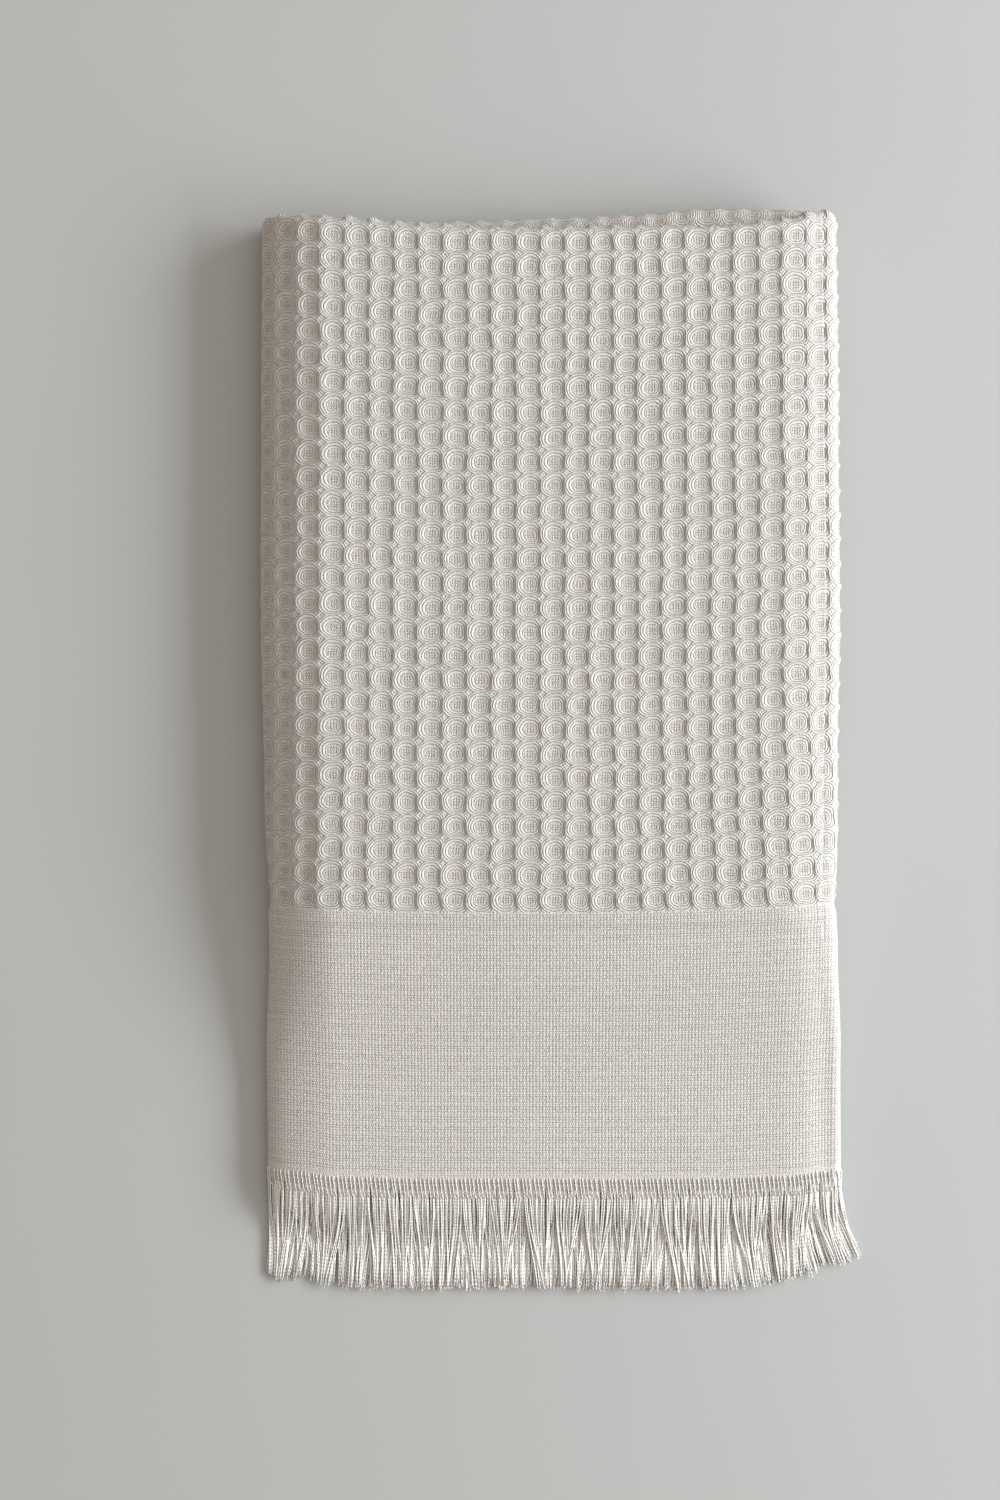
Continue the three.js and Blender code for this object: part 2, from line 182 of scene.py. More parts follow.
# How fringe yarns lie, in millimetres and in shares of their length
YARN = SimpleNamespace(
    gap=0.62,  # between the two yarns of a pair
    points=9,
    sides=4,
    margin=0.15,  # bare at each selvedge, in cells
    least_margin=0.08,
    root_in=1.2,  # how far up from the hem they start
    pair_lift=0.45,  # off the middle of the leaf at the root
    loose_lift=0.2,
    clump=(2, 8),  # pairs to a clump, below the second number
    gather=(0.4, 0.95),
    loose_gather=0.15,
    pull_end=1.05,
    pull_power=1.35,
    drift=1.1,
    loose_drift=0.4,
    drift_power=1.7,
    own=0.5,
    own_power=1.5,
    sway=0.35,
    sway_turns=1.5,
    cut=0.6,
    cut_most=1.8,
    loose_short=1.0,
    clump_cut=(-1.9, -0.4),
    stub_reach=(0.3, 0.5),
    pile=0.35,  # how far pairs lie on others
    pile_rate=1.6,
    fall=(0.04, 0.6),  # where they start to fall, and over which share
    taper=0.92,
    tip_size=0.7,
    loose_size=0.75,
    sizes=(0.85, 1.15),
)

# Where fringe yarns rest on those below: insets from the folds in millimetres, and the columns over
# which the cloth goes round the right bend and the left turn, as start and width
REST = SimpleNamespace(
    bottom_left=-2.5,
    bottom_right=8,
    middle_left=17,
    right_bend=(11.3, 2.2),
    left_turn=(12.4, 1.0),
    outer_lift=0.45,  # of the leaf that faces up
)

# Looks. Noises are given as turns to a metre and octaves, relief in metres. The last shares make
# the shade: each is what its part adds to the darkest.
CLOTH_LOOK = SimpleNamespace(
    roughness=0.92,
    sheen=0.1,
    relief=0.00034,
    wander=(420, 3),
    wander_reach=0.1,  # in cells
    pit_wander=0.6,
    pit_edge=(0.14, 0.27),  # from the middle of a cell, in cells
    # painted shade: the pits' colour is darker than the crests, standing in for the shade in the cups
    pit_tint=(0.92, 0.885, 0.85),
    waffle_edge=(-0.15, 0.1),  # in rows
    fuzz=(2600, 3),
    slubs=(900, 2, (1, 0.06, 1)),
    blotches=(60, 3),
    specks=(1500, 2),
    speck_edge=(0.35, 0.75),
    slub_share=0.12,
    blotch_share=0.08,
    # painted shade: the weave's low places, between yarns and ribs, are darker
    height_share=0.24,
    speck_share=0.22,
    darkest=0.66,
    lightest=1.08,
)
BAND_LOOK = SimpleNamespace(
    warp=0.945,  # pitch of its yarns in millimetres
    weft=0.75,
    weave=0.7,
    rib=(4, 0.5),  # at every fourth weft, and how high
    small_rib=(2, 0.3),
    hem_line=(10.85, 11.18),  # a smooth line above the hem, in rows past the waffle
    hem_line_fade=0.04,
    hem_line_height=0.6,
    hem_line_weave=0.4,
)
YARN_LOOK = SimpleNamespace(
    roughness=0.9,
    sheen=0.1,
    relief=0.0001,
    turns=9.0,  # twists to a centimetre
    fuzz=(2500, 3),
    blotches=(300, 2),
    # painted shade: the grooves of the twist are darker
    twist_share=0.04,
    blotch_share=0.06,
    darkest=0.94,
)
FLOOR_LOOK = SimpleNamespace(
    size=8,
    roughness=0.85,
    blotches=(14, 3),
    grain=(900, 2),
    blotch_share=0.03,
    grain_share=0.03,
    darkest=0.97,
)
SHEEN_ROUGHNESS, SPECULAR = 0.5, 0.25
MIX_INPUTS, MIX_OUTPUT = (0, 6, 7), 2  # a Mix node's factor and two colours, and its colour
SENSOR = 36.0  # height of the camera's sensor in millimetres
NEAREST = 0.01  # the camera sees from here on, in metres


def length(name, default, description):
    """A size in metres, given in millimetres."""
    return FloatProperty(name=name, description=description, default=default * MM, unit="LENGTH")


def share(name, default, description):
    """A plain factor."""
    return FloatProperty(name=name, description=description, default=default, subtype="FACTOR")


def angle(name, default, description):
    """An angle, given in degrees."""
    turn = math.radians(default)
    return FloatProperty(name=name, description=description, default=turn, subtype="ANGLE")


def watts(name, default, description):
    """The power of a light."""
    return FloatProperty(name=name, description=description, default=default, unit="POWER")


def colour(name, default, description):
    """A linear colour."""
    return FloatVectorProperty(name=name, description=description, default=default, subtype="COLOR")


class FoldSizes(bpy.types.PropertyGroup):
    """How the cloth is folded."""

    waffle_leaf: length("Waffle leaf", 3.0, "Thickness of the cloth in the waffle")
    band_leaf: length("Band leaf", 1.3, "Thickness of the cloth in the plain band")
    leaf_gap: length("Leaf gap", 0.35, "Between the two leaves of one third")
    panel_gap: length("Third gap", 0.4, "Between one third and the next")
    waffle_end: length("Waffle end", -46.5, "Where the waffle ends, along the length")
    waffle_fade: length("Waffle fade", 6, "Over this length the cloth thins to the band")
    settle_start: length("Settle start", -44, "Where the stack starts to settle")
    settle_end: length("Settle end", -104, "Where the stack has settled on the thin bands")
    shoulder_width: length("Shoulder width", 21, "The show face rolls down over this width")
    shoulder_top: length("Shoulder top handle", 6, "Stiffness of the roll where it starts")
    shoulder_side: share("Shoulder side handle", 0.6, "Stiffness of the roll at the fold")
    turn_spare: length("Turn spare", 0.25, "How much wider than needed the turn under is")
    middle_inset: length("Middle selvedge", 24, "Right third's selvedge, from the left fold")
    bottom_inset: length("Bottom selvedge", 15, "Left third's selvedge, from the right fold")
    wander: length("Selvedge wander", 1.4, "How far the selvedges wander")
    wander_wave: length("Selvedge wave", 90, "Length of the selvedges' slow wave")
    squeeze: share("Squeeze", 0.15, "How much the right fold presses its leaves")
    squeeze_start: length("Squeeze start", 18, "Distance from the right fold")
    squeeze_full: length("Squeeze full", 4, "Distance from the right fold")
    sag: length("Sag", 1.0, "How far the right fold hangs past the bottom selvedge")
    sag_start: length("Sag start", 12, "Distance from the right fold")
    sag_full: length("Sag full", 3, "Distance from the right fold")
    bottom_short: length("Bottom third short", 0.7, "Left third's top fold, short of the others")


class WeaveSizes(bpy.types.PropertyGroup):
    """The waffle and the band."""

    cell_across: length("Cell across", 7.09, "Pitch of the waffle across the cloth")
    cell_along: length("Cell along", 7.07, "Pitch of the waffle along the cloth")
    first_row: length("First row", -46.4, "Where the waffle's first row starts")
    middle_column: length("Middle column", -5.45, "A ridge of the waffle on the show face")
    yarns: IntProperty(name="Yarns", description="Yarns to a cell", default=10)
    half_cells: IntProperty(name="Half width", description="Cells from middle to selvedge", default=34)
    rows: IntProperty(name="Rows", description="Waffle rows from band to band", default=58)
    pit_depth: length("Pit depth", 0.62, "Depth of a cell")
    lean_left: share("Lean left", 0.08, "How far the upright ridges bulge to the left, in cells")
    lean_up: share("Lean up", 0.08, "How far the level ridges bulge to the top, in cells")
    flank: share("Flank", 0.46, "Width of an upright ridge's soft right side, in cells")
    wall: share("Wall", 0.83, "Where the next ridge's steep left side starts, in cells")
    foot: share("Foot", 0.16, "Height of a cell at the foot of the steep side")
    level_ridge: share("Level ridge", 0.9, "Height of the level ridges between crossings")
    crossing: share("Crossing", 0.8, "Height of an upright ridge where it is pinched at a crossing")
    roundness: share("Roundness", 2.6, "2 makes round cups, more makes squarer ones")
    rim: share("Rim", 0.19, "Width of a cup's rim, in cells")
    notch: share("Notch", 0.42, "How much lower the crossings are")
    unevenness: share("Unevenness", 0.05, "How far the ridges wander, in cells")
    right_bow: length("Right bow", 2.4, "How far the rows rise towards the right")
    left_bow: length("Left bow", 1.2, "How far they rise towards the left, at the waffle's end")
    top_left_bow: length("Top left bow", 3.5, "How far they rise towards the left, at the top")
    detail: IntProperty(name="Detail", description="Faces along a cell of the show face", default=12)
    hidden_detail: IntProperty(name="Hidden detail", description="Faces across a cell below", default=5)


class FringeSizes(bpy.types.PropertyGroup):
    """The cut fringe."""

    pair_pitch: length("Pair pitch", 1.46, "From one pair of yarns to the next")
    yarn_radius: length("Yarn radius", 0.26, "Radius of a fringe yarn")
    layer: length("Layer", 0.6, "Height of one settled layer of fringe")
    fade: length("Layer fade", 8, "Over this width a layer comes down at its edge")
    spread: length("Length spread", 2.8, "How uneven the cut is")
    seed: IntProperty(name="Seed", description="Order of the clumps", default=7)


class TowelColours(bpy.types.PropertyGroup):
    """Undyed cotton."""

    waffle: colour("Waffle", (0.715, 0.675, 0.635), "Waffle cloth")
    band: colour("Band", (0.68, 0.63, 0.595), "Plain band")
    yarn: colour("Yarn", (0.95, 0.91, 0.87), "Cut yarn")
    floor: colour("Floor", (0.515, 0.512, 0.502), "Pale floor")


class StudioSizes(bpy.types.PropertyGroup):
    """Camera and light."""

    camera_x: length("Camera X", -17.8, "Camera's place across the towel")
    camera_y: length("Camera Y", 0.8, "Camera's place along the towel")
    camera_height: length("Camera height", 720, "Above the floor")
    view_length: length("View length", 435, "Length seen at the show face, top to bottom")
    key_turn: angle("Key turn", 4, "Key light's bearing from the right")
    key_rise: angle("Key rise", 23, "Key light's height above the floor")
    key_distance: length("Key distance", 1400, "From the towel to the key light")
    key_height: length("Key height", 490, "Height of the key light")
    key_width: length("Key width", 1800, "Width of the key light")
    key_watts: watts("Key power", 33.5, "Power of the key light")
    key_colour: colour("Key colour", (0.92, 1.0, 1.045), "Colour of the key light")
    fill_rise: angle("Fill rise", 58, "Height of the broad light above the floor")
    fill_distance: length("Fill distance", 1300, "From the towel to the broad light")
    fill_size: length("Fill size", 1300, "Width and height of the broad light")
    fill_watts: watts("Fill power", 3.5, "Power of the broad light")
    room_colour: colour("Room colour", (1.0, 0.91, 0.81), "Colour of the light from all round")
    sky: share("Sky", 0.42, "Strength of the soft light from all round")


GROUPS = {
    "towel_fold": FoldSizes,
    "towel_weave": WeaveSizes,
    "towel_fringe": FringeSizes,
    "towel_colours": TowelColours,
    "towel_studio": StudioSizes,
}


def in_millimetres(group):
    """The group's values, its lengths in millimetres."""
    values = {}
    for name in group.__annotations__:
        value = getattr(group, name)
        is_length = group.bl_rna.properties[name].unit == "LENGTH"
        values[name] = value / MM if is_length else value
    return SimpleNamespace(**values)


def smooth(value):
    """A soft step from 0 to 1."""
    t = np.clip(value, 0, 1)
    return t * t * (3 - 2 * t)


def rise(value, start, width):
    """A soft step from 0 at start to 1, a width further on."""
    return smooth((value - start) / width)


def mix(a, b, t):
    """Between a and b."""
    return a + (b - a) * t


def read_table(rows, key, column, at):
    """One column of a table, with soft steps between its rows."""
    ordered = sorted(rows, key=lambda row: row[key])
    keys = np.array([row[key] for row in ordered], float)
    values = np.array([row[column] for row in ordered], float)
    at = np.asarray(at, float)
    low = np.clip(np.searchsorted(keys, at, side="right") - 1, 0, len(keys) - 2)
    t = smooth((at - keys[low]) / (keys[low + 1] - keys[low]))
    return mix(values[low], values[low + 1], t)


class Fold:
    """The C that the folded cloth follows, and the half fold at its top. All in millimetres."""

    LOW, HIGH, ROW_STEP = -133, 161, 1.5
    SAMPLES = {"middle": 120, "bend": 48, "front": 160, "shoulder": 70, "turn": 30, "bottom": 90}
    FRONT_LEFT, FRONT_RIGHT = -11.8, 13.9
    BEND_START, TURN_END = 11.7, -13.4
    OUTER_ROWS = 29  # rows of the show face, up to the top fold
    BAND_ROWS = 11.6  # length of a band, in rows
    MIDDLE_PHASE, BOTTOM_PHASE = 0.4, 2.1  # of the waves in the selvedges
    LEFT_BOW, RIGHT_BOW = (1.7, 8.2, 1.25), (0.7, 10.4, 1.15)  # start and width in cells, and limit

    def __init__(self, scene):
        self.f = in_millimetres(scene.towel_fold)
        self.w = in_millimetres(scene.towel_weave)
        self.y = np.arange(self.LOW, self.HIGH, self.ROW_STEP)
        parts = [self.stretch(name, self.y[:, None]) for name in self.SAMPLES]
        joined = [np.concatenate([part[i] for part in parts], axis=1) for i in range(6)]
        x, z, nx, nz, offset, thickness = joined
        steps = np.hypot(np.diff(x + nx * offset), np.diff(z + nz * offset))
        run = np.concatenate([np.zeros((len(self.y), 1)), np.cumsum(steps, axis=1)], axis=1)
        first = sum(self.SAMPLES[name] for name in ("middle", "bend"))
        front = slice(first, first + self.SAMPLES["front"])
        zero = [np.interp(-self.w.middle_column, -row_x[front], row[front]) for row_x, row in zip(x, run)]
        self.arc = (np.array(zero)[:, None] - run)[:, ::-1]
        self.fields = [field[:, ::-1] for field in joined]
        self.ends = self.arc[:, 0], self.arc[:, -1]

    def sides(self, y):
        """Outermost x of the left and right fold at length y."""
        return read_table(SIDE_ROWS, "y", "left", y), read_table(SIDE_ROWS, "y", "right", y)

    def stack(self, y, from_right):
        """Heights of the thirds between their leaves, and offset and thickness of the leaves."""
        f = self.f
        in_waffle = rise(y, f.waffle_end - f.waffle_fade, f.waffle_fade)
        thickness = mix(f.band_leaf, f.waffle_leaf, in_waffle)
        settled = smooth((f.settle_start - y) / (f.settle_start - f.settle_end))
        leaf = mix(f.waffle_leaf, f.band_leaf, settled)
        pressed = f.squeeze * smooth((f.squeeze_start - from_right) / (f.squeeze_start - f.squeeze_full))
        sag = f.sag * smooth((f.sag_start - from_right) / (f.sag_start - f.sag_full))
        offset = (leaf + f.leaf_gap) / 2
        pitch = 2 * leaf + f.leaf_gap + f.panel_gap
        bottom = offset + thickness / 2
        loss = pressed * thickness
        middle = bottom + pitch - loss - sag
        return SimpleNamespace(
            free=(offset, thickness),
            pressed=(offset - loss / 2, thickness - loss),
            bottom=bottom,
            middle=middle,
            front=middle + pitch - 2 * loss,
        )

    def bend_centre(self, y):
        """Centre and radius of the right fold, and the stack beside it."""
        stack = self.stack(y, np.zeros_like(y))
        radius = (stack.front - stack.middle) / 2
        offset, thickness = stack.pressed
        return self.sides(y)[1] - radius - offset - thickness / 2, stack.middle + radius, radius, stack

    def turn_centre(self, y):
        """Centre and radius of the turn under at the left, and the stack beside it."""
        stack = self.stack(y, np.full_like(y, self.f.squeeze_start))
        offset, thickness = stack.free
        half = offset + thickness / 2
        radius = half + self.f.turn_spare
        return self.sides(y)[0] + half + radius, stack.bottom + radius, radius, stack

    def level_run(self, y, x, level, outward):
        """A level third of the C."""
        right = self.sides(y)[1]
        stack = self.stack(y, right - x)
        step = 0.5
        after = getattr(self.stack(y, right - x - step), level)
        before = getattr(self.stack(y, right - x + step), level)
        slope = (after - before) / (2 * step)
        size = np.hypot(1, slope)
        offset, thickness = stack.free if level == "bottom" else stack.pressed
        z = getattr(stack, level)
        return x, z, -slope / size * outward, outward / size, offset, thickness

    def arc_of_circle(self, centre, angle, sizes):
        """A round part of the C."""
        cx, cz, radius = centre
        nx, nz = np.cos(angle), np.sin(angle)
        return cx + radius * nx, cz + radius * nz, nx, nz, *sizes

    def shoulder(self, y, t):
        """The roll from the show face down to the left fold, a Bezier curve."""
        f = self.f
        cx, cz, radius, stack = self.turn_centre(y)
        start = self.sides(y)[0] + f.shoulder_width
        top, end = stack.front, cx - radius
        x = (start, start - f.shoulder_top, end, end)
        z = (top, top, cz + f.shoulder_side * (top - cz), cz)
        weight = ((1 - t) ** 3, 3 * (1 - t) ** 2 * t, 3 * (1 - t) * t**2, t**3)
        rate = ((1 - t) ** 2, 2 * (1 - t) * t, t**2)
        dx = sum(rate[i] * (x[i + 1] - x[i]) for i in range(3))
        dz = sum(rate[i] * (z[i + 1] - z[i]) for i in range(3))
        size = np.hypot(dx, dz)
        px = sum(w * v for w, v in zip(weight, x))
        pz = sum(w * v for w, v in zip(weight, z))
        return px, pz, dz / size, -dx / size, *stack.free

    def stretch(self, name, y):
        """One stretch of the C: x, z, outward direction, leaf offset and thickness."""
        f = self.f
        t = np.linspace(0, 1, self.SAMPLES[name])[None, :]
        left, right = self.sides(y)
        bend_x, bend_z, bend_radius, bend_stack = self.bend_centre(y)
        turn_x, turn_z, turn_radius, turn_stack = self.turn_centre(y)
        slow = y / f.wander_wave * math.pi
        if name == "middle":
            start = left + f.middle_inset + f.wander * np.sin(slow + self.MIDDLE_PHASE)
            found = self.level_run(y, mix(start, bend_x, t), "middle", -1)
        elif name == "bend":
            angle = mix(-math.pi / 2, math.pi / 2, t)
            found = self.arc_of_circle((bend_x, bend_z, bend_radius), angle, bend_stack.pressed)
        elif name == "front":
            found = self.level_run(y, mix(bend_x, left + f.shoulder_width, t), "front", 1)
        elif name == "shoulder":
            found = self.shoulder(y, t)
        elif name == "turn":
            angle = mix(math.pi, 1.5 * math.pi, t)
            found = self.arc_of_circle((turn_x, turn_z, turn_radius), angle, turn_stack.free)
        else:
            end = right - f.bottom_inset + f.wander * np.sin(slow + self.BOTTOM_PHASE)
            found = self.level_run(y, mix(turn_x, end, t), "bottom", -1)
        shape = (y.shape[0], t.shape[1])
        return [np.broadcast_to(value, shape) for value in found]

    def look_up(self, s, y):
        """Middle of the leaves, outward direction, offset and thickness at arc s and length y."""
        shape = np.shape(s)
        s, y = np.ravel(s), np.ravel(np.broadcast_to(y, shape))
        place = np.clip((y - self.y[0]) / self.ROW_STEP, 0, len(self.y) - 1.001)
        row = place.astype(int)
        part = place - row
        found = np.zeros((6, len(s)))
        for k in np.unique(row):
            here = row == k
            for i, field in enumerate(self.fields):
                low = np.interp(s[here], self.arc[k], field[k])
                high = np.interp(s[here], self.arc[k + 1], field[k + 1])
                found[i, here] = mix(low, high, part[here])
        size = np.hypot(found[2], found[3])
        found[2:4] /= size
        return [value.reshape(shape) for value in found]

    def arc_at(self, a, y):
        """Where column a lies along the C at length y. The cells fill the cloth to its selvedges."""
        left, right = (read_table(STRETCH_ROWS, "y", side, y) for side in ("left", "right"))
        cell = self.w.cell_across
        s = cell * a * (1 + np.where(a < 0, left, right))
        low = np.interp(y, self.y, self.ends[0])
        high = np.interp(y, self.y, self.ends[1])
        left_edge = cell * self.FRONT_LEFT * (1 + left)
        right_edge = cell * self.FRONT_RIGHT * (1 + right)
        half = self.w.half_cells
        past_left = (self.FRONT_LEFT - a) / (self.FRONT_LEFT + half)
        past_right = (a - self.FRONT_RIGHT) / (half - self.FRONT_RIGHT)
        s = np.where(past_left > 0, mix(left_edge, low, past_left), s)
        return np.where(past_right > 0, mix(right_edge, high, past_right), s)

    def ends_at(self, a):
        """Top fold, hem and x of column a."""
        x = self.look_up(self.arc_at(a, np.zeros_like(a)), np.zeros_like(a))[0]
        peek = read_table(END_COLUMNS, "x", "peek", x)
        over_bend = rise(a, self.BEND_START, self.FRONT_RIGHT - self.BEND_START)
        under = rise(-a, -self.FRONT_LEFT, self.FRONT_LEFT - self.TURN_END)
        top = read_table(END_COLUMNS, "x", "top", x) + peek * over_bend - self.f.bottom_short * under
        return top, read_table(END_COLUMNS, "x", "hem", x), x

    def bow(self, a, b):
        """How far the rows rise towards the sides."""
        w = self.w
        left, right = (
            np.clip((place - start) / width, 0, limit) ** 2
            for place, (start, width, limit) in ((-a, self.LEFT_BOW), (a, self.RIGHT_BOW))
        )
        return w.right_bow * right + mix(w.left_bow, w.top_left_bow, smooth(b / self.OUTER_ROWS)) * left

    def length_at(self, a, b):
        """Length along the cloth of row b, and of the bands before the first and past the last row.
        Past the top fold the length runs on round it and down the inner leaf."""
        w = self.w
        top, hem, _ = self.ends_at(a)
        reach, fold_y = self.fold_at(a, top)
        turn = fold_y + math.pi * reach
        inner_waffle_end = turn + fold_y - w.first_row
        inner_hem = turn + fold_y - hem
        outer = w.first_row + w.cell_along * b + self.bow(a, b)
        at_start = w.first_row + self.bow(a, 0.0)
        at_turn = w.first_row + w.cell_along * self.OUTER_ROWS + self.bow(a, self.OUTER_ROWS)
        v = np.where(b < 0, mix(at_start, hem, -b / self.BAND_ROWS), outer)
        inner = mix(at_turn, inner_waffle_end, (b - self.OUTER_ROWS) / (w.rows - self.OUTER_ROWS))
        v = np.where(b > self.OUTER_ROWS, inner, v)
        inner_band = mix(inner_waffle_end, inner_hem, (b - w.rows) / self.BAND_ROWS)
        return np.where(b > w.rows, inner_band, v)

    def fold_at(self, a, top):
        """Outer radius of the top fold, and where it starts."""
        _, _, _, _, offset, thickness = self.look_up(self.arc_at(a, top), top)
        reach = offset + thickness / 2
        return reach, top - reach

    def skin(self, a, b, depth=0.0, through=0.0):
        """A point of the cloth at column a and row b, depth below the show face, or through a share
        of the cloth's thickness."""
        v = self.length_at(a, b)
        reach, fold_y = self.fold_at(a, self.ends_at(a)[0])
        beyond = v - fold_y
        angle = np.clip(beyond / reach, 0, math.pi)
        turned = beyond - math.pi * reach
        flat_y = np.where(turned > 0, fold_y - turned, np.minimum(v, fold_y))
        x, z, nx, nz, offset, thickness = self.look_up(self.arc_at(a, flat_y), flat_y)
        radius = offset + thickness * (0.5 - through) - depth
        distance = radius * np.cos(angle)
        y = flat_y + radius * np.sin(angle)
        return np.stack([x + nx * distance, y, z + nz * distance], axis=-1)

    def leaf_point(self, a, y, side, lift=0.0):
        """A point of one leaf: side 1 is the outer leaf, -1 the inner; lift is off its middle."""
        x, z, nx, nz, offset, _ = self.look_up(self.arc_at(a, y), y)
        distance = side * (offset + lift)
        return np.stack([x + nx * distance, y, z + nz * distance], axis=-1)


def slow_noise(a, b, seed):
    """A soft, repeatable field between -1 and 1, one knot to a cell."""
    count = RELIEF.knots
    knots = np.random.default_rng(seed).uniform(-1, 1, (count, count))
    a, b = a + RELIEF.shift[0], b + RELIEF.shift[1]
    i, j = np.floor(a).astype(int), np.floor(b).astype(int)
    ta, tb = smooth(a - i), smooth(b - j)
    low = mix(knots[i % count, j % count], knots[(i + 1) % count, j % count], ta)
    high = mix(knots[i % count, (j + 1) % count], knots[(i + 1) % count, (j + 1) % count], ta)
    return mix(low, high, tb)


def off_whole(value):
    """Distance from the nearest whole number."""
    return np.abs(value - np.round(value))


def off_middle(across, along, roundness):
    """Distance from the middle of a cell to its edge, 0 to 0.5 and more in its corners, in round
    or squarer cups. across and along are distances from the lines between cells."""
    return ((0.5 - across) ** roundness + (0.5 - along) ** roundness) ** (1 / roundness)


def waffle_relief(w, a, b):
    """Depth of the waffle below its crests, and how far each point lies left of and above its place
    in the flat cell. Cells are round cups whose upright ridges rise steeply on their left, and whose
    ridges bulge left and up between the crossings."""
    r = RELIEF
    inside = np.minimum(b, w.rows - b)
    right_of = (a - r.crest) % 1
    across, along = off_whole(a - r.crest), off_whole(b + r.crest)
    bulge, swell = np.sin(b * math.pi) ** 2, np.sin(a * math.pi) ** 2
    start = rise(inside, *r.ridges)
    flank = 1 - smooth(right_of / w.flank)
    foot_start = w.flank + r.past_flank
    foot = w.foot * rise(right_of, foot_start, w.wall - foot_start)
    wall = (1 - w.foot) * rise(right_of, w.wall, 1 - w.wall)
    upright = (flank + foot + wall) * (w.crossing + (1 - w.crossing) * bulge)
    from_middle = off_middle(across, along, w.roundness)
    level = w.level_ridge * rise(from_middle, 0.5 - w.rim, w.rim) * rise(inside, *r.level_ridges)
    notch = 1 - w.notch * (1 - smooth(np.hypot(across, along) / r.notch_width))
    both = (upright**r.join + level**r.join) ** (1 / r.join)
    height = np.minimum(both, 1) * notch * start
    depth = w.pit_depth * (1 - height) * rise(inside, *r.pits)
    wander = w.unevenness * start
    left = w.lean_left * bulge * upright * start + wander * slow_noise(a, b, r.seeds[0])
    up = w.lean_up * swell * level * start + wander * slow_noise(a, b, r.seeds[1])
    return depth, left, up


def ground_depth(w, a, b):
    """Depth of the ground cloth that shows in the pits, just below every other piece of the face."""
    inside = np.minimum(b, w.rows - b)
    return RELIEF.ground_low + w.pit_depth * rise(inside, *RELIEF.ground_pits)


def add_mesh(name, points, faces, weave, finish):
    """A smooth mesh from points in millimetres, with weave coordinates and a material."""
    mesh = bpy.data.meshes.new(name)
    points = np.asarray(points, float).reshape(-1, 3) * MM
    faces = np.asarray(faces, np.int32)
    corners = faces.shape[1]
    mesh.vertices.add(len(points))
    mesh.vertices.foreach_set("co", points.ravel())
    mesh.loops.add(faces.size)
    mesh.loops.foreach_set("vertex_index", faces.ravel())
    mesh.polygons.add(len(faces))
    mesh.polygons.foreach_set("loop_start", np.arange(len(faces), dtype=np.int32) * corners)
    mesh.polygons.foreach_set("use_smooth", np.ones(len(faces), bool))
    layer = mesh.uv_layers.new(name="Weave")
    layer.uv.foreach_set("vector", np.asarray(weave, float).reshape(-1, 2)[faces.ravel()].ravel())
    mesh.update(calc_edges=True)
    mesh.validate()
    mesh.materials.append(finish)
    piece = bpy.data.objects.new(name, mesh)
    bpy.context.scene.collection.objects.link(piece)
    return piece


def dress(piece, node):
    """Sets a finished piece on its body and hides the solid that it stands for."""
    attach(piece, BODY)
    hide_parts(node)


def grid_faces(rows, columns):
    """Quads of a grid of points."""
    index = np.arange(rows * columns).reshape(rows, columns)
    quads = np.stack([index[:-1, :-1], index[:-1, 1:], index[1:, 1:], index[1:, :-1]], axis=-1)
    return quads.reshape(-1, 4)


def grid_rim(rows, columns):
    """The points round the edge of a grid, in order."""
    index = np.arange(rows * columns).reshape(rows, columns)
    return np.concatenate([index[0, :-1], index[:-1, -1], index[-1, :0:-1], index[:0:-1, 0]])


def grid_weave(a, b):
    """Weave coordinates of a grid of points."""
    return np.stack([a, b], axis=-1).reshape(-1, 2)


def cells(low, high, detail):
    """Grid lines from low to high, detail to a cell."""
    return np.linspace(low, high, max(2, round((high - low) * detail) + 1))


def grid_lines(*stretches):
    """Grid lines over stretches that follow each other, each (low, high, detail)."""
    return np.unique(np.concatenate([cells(*stretch) for stretch in stretches]).round(5))


def face_columns(low, high):
    """Grid lines across the show face from one place to another."""
    least = 0.01
    whole = np.arange(math.floor(low), math.ceil(high) + 1)
    every = (whole[:, None] + np.array(CELL_COLUMNS)).ravel()
    within = every[(every > low + least) & (every < high - least)]
    return np.concatenate([[low], within, [high]])


def cloth_grid(fold, columns, rows):
    """Points, quads and weave coordinates of a stretch of the show face."""
    a, b = np.meshgrid(columns, rows)
    depth, left, up = waffle_relief(fold.w, a, b)
    points = fold.skin(a - left, b + up, depth)
    return points.reshape(-1, 3), grid_faces(*a.shape), grid_weave(a, b)


def joined(parts):
    """Several grids as one set of points, faces and weave coordinates."""
    points, faces, weave = zip(*parts)
    first = np.cumsum([0] + [len(part) for part in points])
    faces = [part + start for part, start in zip(faces, first)]
    return np.concatenate(points), np.concatenate(faces), np.concatenate(weave)


